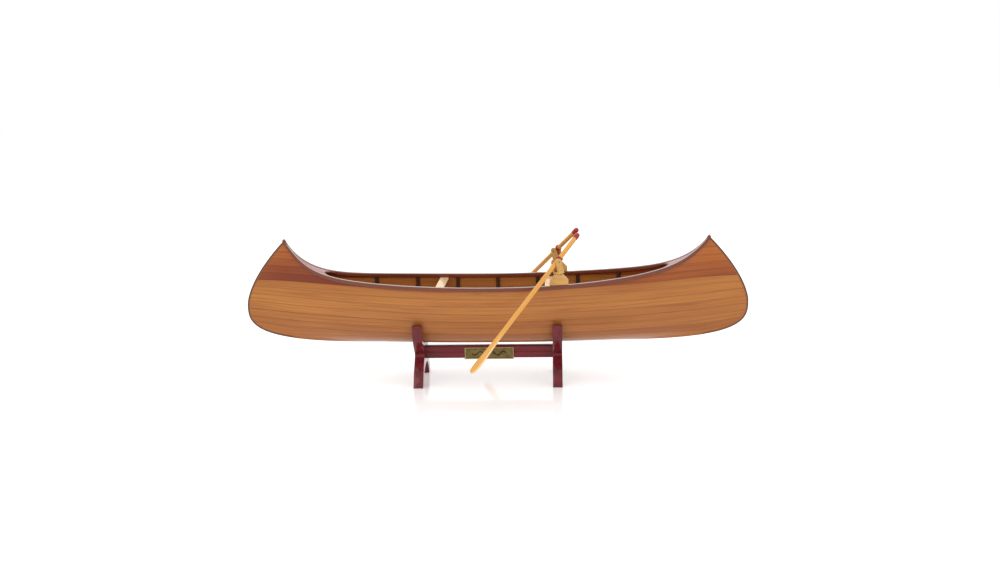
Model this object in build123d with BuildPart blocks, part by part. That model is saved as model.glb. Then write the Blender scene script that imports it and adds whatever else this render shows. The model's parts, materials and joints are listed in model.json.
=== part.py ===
"""Strip-planked display canoe with a pair of oars, lying on a two-frame wooden stand.

The frame stands on the floor under the middle of the canoe: +X runs along the hull to the
bow, +Y to port and +Z up, in millimetres.  The hull is drawn by three formulas, the reach of
the stems, the height of the sheer and the half-breadth, and every plank, rail, rib and cradle
takes its shape from them.
"""
from math import cos, hypot, radians, sin
import os

from build123d import *

os.makedirs("parts", exist_ok=True)

# ---------------------------------------------------------------- hull form
HALF_LENGTH = 304.8           # amidships to the outermost point of each stem
HALF_BEAM = 61.0              # centreline to the planking amidships, at the sheer
KEEL_HEIGHT = 47.5            # floor to the underside of the keel amidships
WIDEST_HEIGHT = 95.0          # height at which the stems reach furthest
SHEER_HEIGHT = 121.8          # top of the gunwale amidships
TIP_HEIGHT = 174.0            # top of the gunwale at the stems
TIP_INSET = 47.8              # how far each tip lies inboard of the outermost point
STEM_HALF = 2.0               # half the thickness of stem and keel
SECTION_FULLNESS = 2.4        # exponent of the midship section
WATERLINE_BODY = 2.7          # exponents of every waterline: its body ...
WATERLINE_ENTRY = 2.13        # ... and its hollow entry
KEEL_BODY = 5.5               # exponents of the forefoot curve: along the keel ...
KEEL_TURN = 3.0               # ... and up the stem
RAKE_TURN = 1.6               # exponent of the stem above the widest height
SHEER_SHARE = {-1: 0.246, 1: 0.427}    # share of the rise that is a parabola, stern and bow
SHEER_HOOK = {-1: 10.3, 1: 9.5}        # exponent of the rest of the rise

# ---------------------------------------------------------------- planking
PLANK = 1.6                   # thickness of the cedar strips
STRIP_WIDTH = 9.6             # width of a side strip
SIDE_STRIPS = 7
BOTTOM_STRIPS = 3
TOPSIDE_STRIPS = 3            # short strips that fill each end above the side strips
TOPSIDE_START = 0.9           # height of the three together where they begin
TOPSIDE_GLUE = 0.004          # glue line between them, as a share of their width
TOP_SEAM_HEIGHT = 119.5       # upper edge of the side strips amidships
TOP_SEAM_RISE = 8.0           # and how much it rises to the stems
END_RUN = 68.8                # last station square to the centreline, inboard of the stem
END_STATION = HALF_LENGTH - END_RUN
STATION_STEP = 23.6
KEEL_END = HALF_LENGTH - 54.8   # where the keel meets the stems
CURVE_STEPS = 90              # steps along a hull section ...
PROFILE_STEPS = 240           # ... and along a stem's profile
SHEER_OVERRUN = 1.02          # the sheer is drawn this far past its tips, as a share
STEM_DEPTH = 3.0              # stem band outside the plank ends
STEM_PROUD = 0.25             # stem band beyond the planking on each side
TIP_PROUD = 2.0               # stem head above the gunwales

# ---------------------------------------------------------------- gunwales, decks, inside
RAIL_HEIGHT = 4.2
RAIL_OUTBOARD = 2.5           # gunwale outside the planking
RAIL_INBOARD = 4.0            # gunwale inside the outer face of the planking
DECK_THICK = 2.4
DECK_MOUTH = HALF_LENGTH - 108.8   # where the horns of the cut-out end on the gunwales
DECK_BOW = 13.0               # depth of the rounded cut-out of each deck
DECK_HORN = 1.0               # width of a horn where it ends
DECK_TIP_HALF = 0.3           # half-width of the deck where it ends at the stem
GLUE = 0.1                    # glue line between glued faces that curve
RIB_SPACING = 50.0
RIBS_EACH_WAY = 3
RIB_WIDTH = 4.5
RIB_THICK = 1.8
RIB_GAP = 0.2                 # rib to planking, for the boards' flat facets
THWART_AT, THWART_WIDTH = -67.0, 10.5
SEAT_AT, SEAT_WIDTH = 68.0, 18.0
THWART_THICK = 2.6
THWART_GAP = 0.3              # thwart ends to planking
RIB_HEAD = 1.0                # least height from the top of a rib down to its first corner

# ---------------------------------------------------------------- oars and oarlocks
LOCK_AT = 76.0                # middle of the oarlock blocks along the hull
BLOCK_WIDTH = 22.0
BLOCK_HEIGHT = 13.0
BLOCK_THICK = 5.5
BLOCK_TOP = 9.6               # flat between the cut corners
BLOCK_CHEEK = 6.0             # upright side under each cut corner
SPINDLE_RADIUS = 1.5
SPINDLE_LENGTH = 9.0
RUNNING_GAP = 0.05            # radial clearance of a turning pin
FACE_GAP = 0.3                # between faces that move past each other
PRESS_GAP = 0.01
FORK_LEAN = 12.0              # degrees that the fork leans to the stern
FORK_BASE = 2.2               # thickness under the crotch
FORK_DEPTH = 8.4              # width of a prong along the oar
PRONG = 1.9                   # thickness of a prong
PIVOT_RISE = 14.0             # block top to the oar pin, along the fork
CROTCH_DROP = 10.6            # crotch below the oar pin
PIN_RADIUS = 0.8
PIN_PROUD = 0.7
OAR_YAW = 49.0                # degrees from the bow direction to the handle, seen from above
OAR_PITCH = 36.5              # degrees that the handle rises
SHAFT_RADIUS = 2.7
BLADE_REACH = 181.0           # pin to the blade tip
HANDLE_REACH = 50.0           # pin to the end of the grip
BLADE_LENGTH = 72.0
BLADE_WIDTH = 14.0
BLADE_THICK = 2.6
BLADE_SHOULDER = 20.0         # rounded end of the blade
BLADE_NECK = 29.4             # run over which the shaft fades into the blade
GRIP_LENGTH = 8.5
GRIP_RADIUS = 3.1
COLLAR_LENGTH = 2.8
COLLAR_RADIUS = 4.1

# ---------------------------------------------------------------- stand
FRAME_AT = {"stern": -93.0, "bow": 73.5}
FRAME_THICK = 11.5
ARM_HEIGHT = 76.0             # floor to the tops of the arms
ARM_TOP = 7.0                 # thickness of an arm at its top
CRADLE_GAP = 0.3              # hull to saddle
SADDLE_POINTS = 8             # points that draw half a saddle
WAIST_HEIGHT, WAIST_HALF = 35.0, 25.0
FOOT_HALF = 52.0              # centreline to the outer edge of a foot
FOOT_LENGTH = 15.0
ARCH_HEIGHT = 21.0
STRETCHER_BOTTOM = 27.0
STRETCHER_HEIGHT = 15.6
STRETCHER_THICK = 10.0
GROOVE = 0.7                  # depth of the two beads' dividing groove
PLATE_LENGTH, PLATE_HEIGHT, PLATE_THICK = 60.0, 14.6, 1.0
PLATE_DROP = 1.8              # middle of the plate below the middle of the stretcher
DOWEL_RADIUS, DOWEL_LENGTH = 2.5, 16.0

# ================================================================ hull formulas
SIDES = {"port": 1, "starboard": -1}
ENDS = {"stern": -1, "bow": 1}


def stem_reach(z):
    """Distance from amidships to the stem at height z."""
    if z >= WIDEST_HEIGHT:
        climb = (z - WIDEST_HEIGHT) / (TIP_HEIGHT - WIDEST_HEIGHT)
        return HALF_LENGTH - TIP_INSET * climb ** RAKE_TURN
    drop = min((WIDEST_HEIGHT - z) / (WIDEST_HEIGHT - KEEL_HEIGHT), 1.0)
    return HALF_LENGTH * (1 - drop ** KEEL_TURN) ** (1 / KEEL_BODY)


def keel_line(x):
    """Height of the underside of the keel at x."""
    run = min(abs(x) / HALF_LENGTH, 1.0)
    fall = (1 - run ** KEEL_BODY) ** (1 / KEEL_TURN)
    return WIDEST_HEIGHT - (WIDEST_HEIGHT - KEEL_HEIGHT) * fall


def sheer_line(x):
    """Height of the top of the gunwale at x: a parabola and a hook that rises near the end."""
    end = 1 if x > 0 else -1
    run = min(abs(x) / (HALF_LENGTH - TIP_INSET), SHEER_OVERRUN)
    share = SHEER_SHARE[end]
    return SHEER_HEIGHT + (TIP_HEIGHT - SHEER_HEIGHT) * (
        share * run ** 2 + (1 - share) * run ** SHEER_HOOK[end])


def rail_bottom(x):
    return sheer_line(x) - RAIL_HEIGHT


def half_breadth(x, z):
    """Centreline to the outer face of the planking: midship section times waterline."""
    depth = min(max((z - KEEL_HEIGHT) / (SHEER_HEIGHT - KEEL_HEIGHT), 0.0), 1.0)
    section = (1 - (1 - depth) ** SECTION_FULLNESS) ** (1 / SECTION_FULLNESS)
    reach = max(stem_reach(z), 1.0)
    run = min(abs(x) / reach, 1.0)
    waterline = (1 - run ** WATERLINE_BODY) ** WATERLINE_ENTRY
    return STEM_HALF + (HALF_BEAM - STEM_HALF) * section * waterline


def top_seam(x):
    return TOP_SEAM_HEIGHT + TOP_SEAM_RISE * (x / HALF_LENGTH) ** 2


def bisect(function, low, high):
    """Where a function that changes sign once between low and high is nought."""
    sign = function(low) > 0
    for _ in range(50):
        middle = (low + high) / 2
        if (function(middle) > 0) == sign:
            low = middle
        else:
            high = middle
    return (low + high) / 2


def travel(points):
    """Running length along a list of points of the plane."""
    lengths = [0.0]
    for (a, b), (c, d) in zip(points, points[1:]):
        lengths.append(lengths[-1] + hypot(c - a, d - b))
    return lengths


def along(points, lengths, distance):
    """The point that lies a distance along the list, and the direction there."""
    k = 1
    while k < len(points) - 1 and lengths[k] < distance:
        k += 1
    share = (distance - lengths[k - 1]) / (lengths[k] - lengths[k - 1])
    (a, b), (c, d) = points[k - 1], points[k]
    step = hypot(c - a, d - b)
    return (a + share * (c - a), b + share * (d - b)), ((c - a) / step, (d - b) / step)


def section_curve(x, top):
    """Half section at x from height top down to the keel, as (half-breadth, height) points."""
    keel = keel_line(x)
    curve = []
    for k in range(CURVE_STEPS + 1):
        z = keel + (top - keel) * (1 - k / CURVE_STEPS) ** 3
        curve.append((half_breadth(x, z), z))
    return curve


def seam_distances(girth):
    """Distances of the seams down the girth: side strips of one width, then equal bottom ones."""
    side = [STRIP_WIDTH * k for k in range(SIDE_STRIPS + 1)]
    rest = (girth - side[-1]) / BOTTOM_STRIPS
    return side + [side[-1] + rest * k for k in range(1, BOTTOM_STRIPS + 1)]


def hull_seams(x):
    """Outer and inner corner of each seam at a square station, as ((y, z), (y, z))."""
    curve = section_curve(x, top_seam(x))
    lengths = travel(curve)
    outer = [along(curve, lengths, distance)[0] for distance in seam_distances(lengths[-1])]
    seams = []
    for k, (y, z) in enumerate(outer):
        (ya, za), (yb, zb) = outer[max(k - 1, 0)], outer[min(k + 1, len(outer) - 1)]
        chord = hypot(yb - ya, zb - za)
        seams.append(((y, z), (y + PLANK * (zb - za) / chord, z - PLANK * (yb - ya) / chord)))
    if rail_bottom(x) < top_seam(x):
        y, z = half_breadth(x, rail_bottom(x)), rail_bottom(x)
        seams[0] = ((y, z), (y - PLANK, z))
    return seams


# ---------------------------------------------------------------- stem curve
def stem_curve():
    """Profile of a stem from its tip down to the end of the keel, as (x, z) points."""
    fall = keel_line(KEEL_END) - TIP_HEIGHT
    heights = [TIP_HEIGHT + fall * k / PROFILE_STEPS for k in range(PROFILE_STEPS + 1)]
    return [(stem_reach(z), z) for z in heights]


STEM = stem_curve()
STEM_LENGTHS = travel(STEM)


def stem_at(distance, inset=0.0):
    """Point of the stem a distance from the tip, set in from its outer edge."""
    (x, z), (dx, dz) = along(STEM, STEM_LENGTHS, distance)
    return x + inset * dz, z - inset * dx


def stem_distance(height):
    """Distance from the tip at which the stem passes a height."""
    return bisect(lambda s: stem_at(s)[1] - height, 0.0, STEM_LENGTHS[-1])


def stem_meets(line, inset):
    """Distance from the tip at which the inset stem curve meets a line such as the sheer."""
    def above(s):
        x, z = stem_at(s, inset)
        return z - line(x)
    return bisect(above, 0.0, stem_distance(WIDEST_HEIGHT))


TOP_SEAM_END = stem_distance(TOP_SEAM_HEIGHT + TOP_SEAM_RISE)
SEAM_ENDS = [TOP_SEAM_END + d for d in seam_distances(STEM_LENGTHS[-1] - TOP_SEAM_END)]


# ================================================================ faceted bars
def bar(sections):
    """Solid through four-cornered sections, each span closed by flat triangles.

    Neighbours that share a row of corners share their facets, so strips that are glued edge
    to edge meet exactly.
    """
    facets = []
    for near, far in zip(sections, sections[1:]):
        for k in range(4):
            a, b = near[k], near[(k + 1) % 4]
            c, d = far[(k + 1) % 4], far[k]
            facets += [(a, b, c), (a, c, d)] if k < 2 else [(a, b, d), (b, c, d)]
    for cap in (sections[0], sections[-1]):
        facets += [(cap[0], cap[1], cap[2]), (cap[0], cap[2], cap[3])]
    return Solid(Shell([Face(Wire.make_polygon(f, close=True)) for f in facets]))


def write(builder, label):
    """Name a finished piece and write it to its file."""
    builder.part.label = label
    export_step(builder.part, "parts/" + label + ".step")


def linspace(low, high, count):
    return [low + (high - low) * k / (count - 1) for k in range(count)]


# ================================================================ planking
def topside_start(end):
    """Station at which the gunwale has risen clear of the top side strip."""
    def clear(x):
        return rail_bottom(end * x) - top_seam(x) - TOPSIDE_START
    return end * bisect(clear, 0.0, END_STATION)


STEP_STATIONS = [topside_start(-1), topside_start(1)]
SQUARE_STATIONS = sorted(
    linspace(-END_STATION, END_STATION, round(2 * END_STATION / STATION_STEP) + 1)
    + STEP_STATIONS)
END_SHARES = linspace(0.0, 1.0, 4)[1:]


def end_section(end, share, seam_points, stem_points):
    """Seam corners between the last square station and the stem."""
    corners = []
    for ((y0, z0), (yi, zi)), (x1, z1) in zip(seam_points, stem_points):
        x = END_STATION + share * (x1 - END_STATION)
        z = z0 + share * (z1 - z0)
        y = half_breadth(x, z)
        keep = 1 - share
        inner_y = y + keep * (yi - y0) - share * PLANK
        inner_z = z + keep * (zi - z0)
        corners.append(((end * x, y, z), (end * x, inner_y, inner_z)))
    return corners


def side_rows():
    """For each station, the outer and inner corner of every seam of the long strips."""
    ends = [stem_at(s, STEM_DEPTH + GLUE) for s in SEAM_ENDS]
    rows = []
    for share in reversed(END_SHARES):
        rows.append(end_section(-1, share, hull_seams(-END_STATION), ends))
    for x in SQUARE_STATIONS:
        rows.append([((x, *outer), (x, *inner)) for outer, inner in hull_seams(x)])
    for share in END_SHARES:
        rows.append(end_section(1, share, hull_seams(END_STATION), ends))
    return rows


def strip_sections(rows, seam, side):
    """Sections of the strip between a seam and the next, on one side of the boat."""
    sections = []
    for row in rows:
        (a_out, a_in), (b_out, b_in) = row[seam], row[seam + 1]
        sections.append([(x, side * y, z) for x, y, z in (a_out, b_out, b_in, a_in)])
    return sections


ROWS = side_rows()
LONG_STRIPS = SIDE_STRIPS + BOTTOM_STRIPS
for side_name, side in SIDES.items():
    for seam in range(LONG_STRIPS):
        with BuildPart() as strip:
            add(bar(strip_sections(ROWS, seam, side)))
        if seam < SIDE_STRIPS:
            write(strip, f"{side_name}_side_strip_{seam + 1}")
        else:
            write(strip, f"{side_name}_bottom_strip_{seam - SIDE_STRIPS + 1}")


def topside_rows(end):
    """Corners of the short strips' seams, from the top side strip up to the gunwale."""
    start = abs(topside_start(end))
    square = [x for x in (end * s for s in SQUARE_STATIONS) if x >= start - 1e-6]
    rows = []
    tip = stem_meets(lambda x: rail_bottom(end * x), STEM_DEPTH + GLUE)
    for x in sorted(square):
        low, high = hull_seams(end * x)[0], rail_bottom(end * x)
        top = half_breadth(x, high)
        rows.append([((x, *low[0]), (x, *low[1])), ((x, top, high), (x, top - PLANK, high))])
    last = rows[-1]
    foot_x, foot_z = stem_at(TOP_SEAM_END, STEM_DEPTH + GLUE)
    tip_x, tip_z = stem_at(tip, STEM_DEPTH + GLUE)
    for share in END_SHARES:
        foot = end_section(1, share, [(last[0][0][1:], last[0][1][1:])], [(foot_x, foot_z)])[0]
        x = END_STATION + share * (tip_x - END_STATION)
        high = tip_z if share == 1.0 else rail_bottom(end * x)
        top = half_breadth(x, high)
        rows.append([foot, ((x, top, high), (x, top - PLANK, high))])
    return rows


def between(low, high, share):
    """Corner pair a share of the way from one seam to another, laid on the hull."""
    pair = []
    for a, b in zip(low, high):
        pair.append(tuple(p + share * (q - p) for p, q in zip(a, b)))
    x, y, z = pair[0]
    bulge = half_breadth(x, z) - y
    return tuple((px, py + bulge, pz) for px, py, pz in pair)


for end_name, end in ENDS.items():
    topside = topside_rows(end)
    for side_name, side in SIDES.items():
        with BuildPart() as strips:
            for k in range(TOPSIDE_STRIPS):
                upper = (k + 1 - TOPSIDE_GLUE * (k < TOPSIDE_STRIPS - 1)) / TOPSIDE_STRIPS
                lower = (k + TOPSIDE_GLUE * (k > 0)) / TOPSIDE_STRIPS
                sections = []
                for low, high in topside:
                    a = between(low, high, upper)
                    b = between(low, high, lower)
                    corners = (a[0], b[0], b[1], a[1])
                    sections.append([(end * x, side * y, z) for x, y, z in corners])
                add(bar(sections[::end]))
        write(strips, f"{end_name}_{side_name}_topside")

# ================================================================ keel and stems
def heel_sections(end):
    """Sections of the keel beyond the square stations, under the lowest strips up to the stem."""
    lowest = hull_seams(end * END_STATION)[-1]
    foot = stem_at(SEAM_ENDS[-1], STEM_DEPTH + GLUE)
    sections = []
    for share in END_SHARES:
        _, (x, inner_y, inner_z) = end_section(end, share, [lowest], [foot])[0]
        low_y, low = STEM_HALF - GLUE, keel_line(x)
        high_y, high = inner_y - GLUE, inner_z - share * GLUE
        sections.append([(x, -low_y, low), (x, low_y, low), (x, high_y, high), (x, -high_y, high)])
    return sections


with BuildPart() as keel:
    sections = heel_sections(-1)[::-1]
    for x in SQUARE_STATIONS:
        (low_y, low), (high_y, high) = hull_seams(x)[-1]
        low_y, high_y = low_y - GLUE, high_y - GLUE
        sections.append([(x, -low_y, low), (x, low_y, low), (x, high_y, high), (x, -high_y, high)])
    add(bar(sections + heel_sections(1)))
write(keel, "keel")

STEM_STEPS = sorted([TOP_SEAM_END * k / 6 for k in range(1, 6)] + SEAM_ENDS)
for end_name, end in ENDS.items():
    with BuildPart() as stem:
        half = STEM_HALF + STEM_PROUD
        (tip_x, tip_z), (next_x, next_z) = stem_at(0.0), stem_at(STEM_STEPS[0])
        lift = TIP_PROUD / hypot(tip_x - next_x, tip_z - next_z)
        head = [(x + lift * (tip_x - next_x), z + lift * (tip_z - next_z))
                for x, z in (stem_at(0.0), stem_at(0.0, STEM_DEPTH))]
        profile = [head] + [(stem_at(s), stem_at(s, STEM_DEPTH)) for s in STEM_STEPS]
        sections = []
        for (xo, zo), (xi, zi) in profile:
            sections.append([(end * xo, -half, zo), (end * xo, half, zo),
                             (end * xi, half, zi), (end * xi, -half, zi)])
        add(bar(sections))
    write(stem, f"{end_name}_stem")


# ================================================================ gunwales and decks
def rail_edges(x):
    """Outer and inner edge of the gunwale at x; towards the stems it narrows to the middle."""
    planking = half_breadth(x, sheer_line(x))
    return planking + RAIL_OUTBOARD, max(planking - RAIL_INBOARD, GLUE)


def rail_stations(end):
    """Stations of one end of a gunwale, the last ones on the inner face of the stem."""
    inset = STEM_DEPTH + GLUE
    tips = [stem_at(stem_meets(lambda x: line(end * x), inset), inset)[0]
            for line in (sheer_line, rail_bottom)]
    stations = [(end * x, end * x) for x in SQUARE_STATIONS if end * x > -1e-6]
    stations.sort()
    for share in END_SHARES:
        stations.append(tuple(END_STATION + share * (tip - END_STATION) for tip in tips))
    return [(end * a, end * b) for a, b in stations]


for side_name, side in SIDES.items():
    with BuildPart() as rail:
        sections = []
        stations = rail_stations(-1)[::-1] + rail_stations(1)[1:]
        for top_x, low_x in stations:
            outer, inner = rail_edges(top_x)
            corners = [(top_x, outer, sheer_line(top_x)), (low_x, outer, rail_bottom(low_x)),
                       (low_x, inner, rail_bottom(low_x)), (top_x, inner, sheer_line(top_x))]
            sections.append([(x, side * y, z) for x, y, z in corners])
        add(bar(sections))
    write(rail, f"{side_name}_gunwale")

for end_name, end in ENDS.items():
    last = bisect(lambda x: rail_edges(end * x)[1] - DECK_TIP_HALF,
                  DECK_MOUTH + DECK_BOW, HALF_LENGTH - TIP_INSET)
    middle = [s for s in (end * x for x in SQUARE_STATIONS) if DECK_MOUTH < s < last]
    with BuildPart() as deck:
        sections = []
        for x in [DECK_MOUTH] + sorted(middle) + [last]:
            half = rail_edges(end * x)[1] - GLUE
            high = sheer_line(end * x)
            low = high - DECK_THICK
            sections.append([(end * x, -half, high), (end * x, half, high),
                             (end * x, half, low), (end * x, -half, low)])
        add(bar(sections))
        mouth = rail_edges(end * DECK_MOUTH)[1] - DECK_HORN
        with BuildSketch(Plane.XY.offset(SHEER_HEIGHT)):
            with Locations((end * DECK_MOUTH, 0)):
                Ellipse(DECK_BOW, mouth)
        extrude(amount=TIP_HEIGHT - SHEER_HEIGHT, mode=Mode.SUBTRACT)
    write(deck, f"{end_name}_deck")


# ================================================================ ribs and thwarts
def inner_section(x, top, gap):
    """Inside of the planking at x, drawn in by a gap, from the height top to the keel."""
    points = [(half_breadth(x, top) - PLANK - gap, top)]
    for (yo, zo), (yi, zi) in hull_seams(x):
        reach = 1 + gap / PLANK
        if zo < top - RIB_HEAD:
            points.append((yo + reach * (yi - yo), zo + reach * (zi - zo)))
    return points + [(0.0, points[-1][1])]


for number in range(-RIBS_EACH_WAY, RIBS_EACH_WAY + 1):
    at = number * RIB_SPACING
    end = 1 if at > 0 else -1
    narrow_face = at + end * RIB_WIDTH / 2
    top = rail_bottom(at - end * RIB_WIDTH / 2) - GLUE
    outline = inner_section(narrow_face, top, RIB_GAP)
    lining = inner_section(narrow_face, top, RIB_GAP + RIB_THICK)
    half_loop = outline + lining[::-1]
    with BuildPart() as rib:
        with BuildSketch(Plane.YZ.offset(at)):
            with BuildLine():
                Polyline(*half_loop, close=True)
            make_face()
            mirror(about=Plane.YZ)
        extrude(amount=RIB_WIDTH / 2, both=True)
    write(rib, f"rib_{number + RIBS_EACH_WAY + 1}")

THWARTS = {"front_thwart": (THWART_AT, THWART_WIDTH), "rowing_seat": (SEAT_AT, SEAT_WIDTH)}
for name, (at, width) in THWARTS.items():
    ends = [at - width / 2, at + width / 2]
    top = min(rail_bottom(x) for x in ends) - GLUE
    halves = [half_breadth(x, top - THWART_THICK) - PLANK - THWART_GAP for x in ends]
    with BuildPart() as thwart:
        with BuildSketch(Plane.XY.offset(top)):
            Polygon((ends[0], -halves[0]), (ends[1], -halves[1]),
                    (ends[1], halves[1]), (ends[0], halves[0]), align=None)
        extrude(amount=-THWART_THICK)
    write(thwart, name)


# ================================================================ oarlocks and oars
lock_top = sheer_line(LOCK_AT) + BLOCK_HEIGHT
rail_out, _ = rail_edges(LOCK_AT + BLOCK_WIDTH / 2)
lock_half = rail_out - BLOCK_THICK / 2
lean = radians(FORK_LEAN)
fork_up = Vector(-sin(lean), 0, cos(lean))
LOCKS = {}
for side_name, side in SIDES.items():
    yaw, pitch = radians(OAR_YAW), radians(OAR_PITCH)
    handle = Vector(cos(pitch) * cos(yaw), -side * cos(pitch) * sin(yaw), sin(pitch))
    pin = fork_up.cross(handle).normalized()
    seat = Vector(LOCK_AT, side * lock_half, lock_top + FACE_GAP)
    LOCKS[side_name] = (handle, pin, seat, seat + fork_up * PIVOT_RISE)
    print(side_name, "oar pin at", tuple(round(v, 3) for v in LOCKS[side_name][3]),
          "axis", tuple(round(v, 5) for v in pin), "spindle at", round(side * lock_half, 3))

for side_name, side in SIDES.items():
    handle, pin, seat, pivot = LOCKS[side_name]
    low_x, high_x = LOCK_AT - BLOCK_WIDTH / 2, LOCK_AT + BLOCK_WIDTH / 2
    with BuildPart() as block:
        with BuildSketch(Plane.XZ.offset(-side * lock_half)):
            low_z, high_z = sheer_line(low_x) + GLUE, sheer_line(high_x) + GLUE
            Polygon((low_x, low_z), (high_x, high_z), (high_x, high_z + BLOCK_CHEEK),
                    (LOCK_AT + BLOCK_TOP / 2, lock_top), (LOCK_AT - BLOCK_TOP / 2, lock_top),
                    (low_x, low_z + BLOCK_CHEEK), align=None)
        extrude(amount=BLOCK_THICK / 2, both=True)
        with Locations((LOCK_AT, side * lock_half, lock_top)):
            Hole(SPINDLE_RADIUS + RUNNING_GAP, depth=SPINDLE_LENGTH + FACE_GAP)
    write(block, f"{side_name}_oarlock_block")

    gap_half = SHAFT_RADIUS + FACE_GAP
    fork_half = gap_half + PRONG
    prong_top = PIVOT_RISE + FORK_DEPTH / 2
    crotch = PIVOT_RISE - CROTCH_DROP
    with BuildPart() as fork:
        with BuildSketch(Plane(origin=seat, x_dir=pin, z_dir=pin.cross(fork_up))):
            with Locations((0, prong_top / 2)):
                Rectangle(2 * fork_half, prong_top)
            with Locations((0, (prong_top + crotch) / 2)):
                Rectangle(2 * gap_half, prong_top - crotch, mode=Mode.SUBTRACT)
        extrude(amount=FORK_DEPTH / 2, both=True)
        tips = fork.edges().filter_by(Axis(seat, pin)).group_by(
            lambda e: round((e.center() - seat).dot(fork_up), 3))[-1]
        fillet(tips, FORK_DEPTH / 2 - 2 * PRESS_GAP)
        foot = Plane(origin=seat - Vector(0, 0, SPINDLE_LENGTH), z_dir=(0, 0, 1))
        with BuildSketch(foot):
            Circle(SPINDLE_RADIUS)
        extrude(amount=SPINDLE_LENGTH + FORK_BASE / 2)
        with BuildSketch(Plane(origin=seat, z_dir=(0, 0, 1))):
            Rectangle(4 * FORK_DEPTH, 4 * FORK_DEPTH)
            Circle(SPINDLE_RADIUS, mode=Mode.SUBTRACT)
        extrude(amount=-SPINDLE_LENGTH / 2, mode=Mode.SUBTRACT)
        with BuildSketch(Plane(origin=pivot, z_dir=pin)):
            Circle(PIN_RADIUS + PRESS_GAP)
        extrude(amount=2 * fork_half, both=True, mode=Mode.SUBTRACT)
    write(fork, f"{side_name}_oar_fork")

    with BuildPart() as oar_pin:
        with BuildSketch(Plane(origin=pivot, z_dir=pin)):
            Circle(PIN_RADIUS)
        extrude(amount=fork_half + PIN_PROUD, both=True)
    write(oar_pin, f"{side_name}_oar_pin")

    face = handle.cross(pin)
    blade_plane = Plane(origin=pivot, x_dir=handle, z_dir=face)
    shoulder = BLADE_REACH - BLADE_LENGTH
    with BuildPart() as oar:
        with BuildSketch(Plane(origin=pivot - handle * shoulder, z_dir=handle)):
            Circle(SHAFT_RADIUS)
        extrude(amount=shoulder + HANDLE_REACH - GRIP_LENGTH)
        with BuildSketch(blade_plane):
            with BuildLine():
                Polyline((-shoulder, 0), (-shoulder, SHAFT_RADIUS))
                Spline((-shoulder, SHAFT_RADIUS),
                       (-(BLADE_REACH - BLADE_SHOULDER), BLADE_WIDTH / 2),
                       (-BLADE_REACH, 0), tangents=((-1, 0), (0, -1)))
                Line((-BLADE_REACH, 0), (-shoulder, 0))
            make_face()
            mirror(about=Plane.XZ)
        extrude(amount=BLADE_THICK / 2, both=True)
        neck = Plane(origin=pivot - handle * shoulder, z_dir=-handle)
        with BuildSketch(neck):
            Circle(SHAFT_RADIUS)
        with BuildSketch(neck.offset(BLADE_NECK)):
            Circle(BLADE_THICK / 2)
        loft()
        with BuildSketch(Plane(origin=pivot, z_dir=pin)):
            Circle(PIN_RADIUS + RUNNING_GAP)
        extrude(amount=2 * SHAFT_RADIUS, both=True, mode=Mode.SUBTRACT)
    write(oar, f"{side_name}_oar")

    with BuildPart() as collar:
        start = FORK_DEPTH / 2 + FACE_GAP
        with BuildSketch(Plane(origin=pivot + handle * start, z_dir=handle)):
            Circle(COLLAR_RADIUS)
            Circle(SHAFT_RADIUS + PRESS_GAP, mode=Mode.SUBTRACT)
        extrude(amount=COLLAR_LENGTH)
    write(collar, f"{side_name}_oar_collar")

    with BuildPart() as grip:
        with BuildSketch(Plane(origin=pivot + handle * HANDLE_REACH, z_dir=-handle)):
            Circle(GRIP_RADIUS)
        extrude(amount=GRIP_LENGTH)
        fillet(grip.edges().sort_by(Axis(pivot, handle))[-1], GRIP_RADIUS / 2)
    write(grip, f"{side_name}_oar_grip")


# ================================================================ stand
def saddle_points(face):
    """Hull section at the fullest face of a frame, moved out by the cradle gap."""
    curve = section_curve(face, ARM_HEIGHT)
    stride = (len(curve) - 1) / (SADDLE_POINTS - 1)
    picked = [curve[round(k * stride)] for k in range(SADDLE_POINTS)]
    moved = []
    for (ya, za), (yb, zb) in zip(picked, picked[1:]):
        length = hypot(yb - ya, zb - za)
        moved.append((ya - CRADLE_GAP * (zb - za) / length, za + CRADLE_GAP * (yb - ya) / length))
    return moved + [(0.0, keel_line(face) - CRADLE_GAP)]


stretcher_middle = STRETCHER_BOTTOM + STRETCHER_HEIGHT / 2
for name, at in FRAME_AT.items():
    end = 1 if at > 0 else -1
    saddle = saddle_points(at - end * FRAME_THICK / 2)
    arm_in = saddle[0][0]
    with BuildPart() as frame:
        with BuildSketch(Plane.YZ.offset(at)):
            with BuildLine():
                Spline(*saddle[::-1], tangents=((1, 0), (0.1, 1)))
                Polyline(saddle[0], (arm_in, ARM_HEIGHT), (arm_in + ARM_TOP, ARM_HEIGHT))
                Spline((arm_in + ARM_TOP, ARM_HEIGHT), (WAIST_HALF, WAIST_HEIGHT), (FOOT_HALF, 0),
                       tangents=((-0.2, -1), (0.35, -1)))
                Line((FOOT_HALF, 0), (FOOT_HALF - FOOT_LENGTH, 0))
                Spline((FOOT_HALF - FOOT_LENGTH, 0), (0, ARCH_HEIGHT),
                       tangents=((-0.35, 1), (-1, 0)))
                Line((0, ARCH_HEIGHT), (0, saddle[-1][1]))
            make_face()
            mirror(about=Plane.YZ)
        extrude(amount=FRAME_THICK / 2, both=True)
        inner_face = Plane.YZ.offset(at - end * FRAME_THICK / 2)
        with BuildSketch(inner_face):
            with Locations((0, stretcher_middle)):
                Circle(DOWEL_RADIUS + RUNNING_GAP)
        extrude(amount=end * (DOWEL_LENGTH + GLUE) / 2, mode=Mode.SUBTRACT)
    write(frame, f"{name}_cradle_frame")

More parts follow.
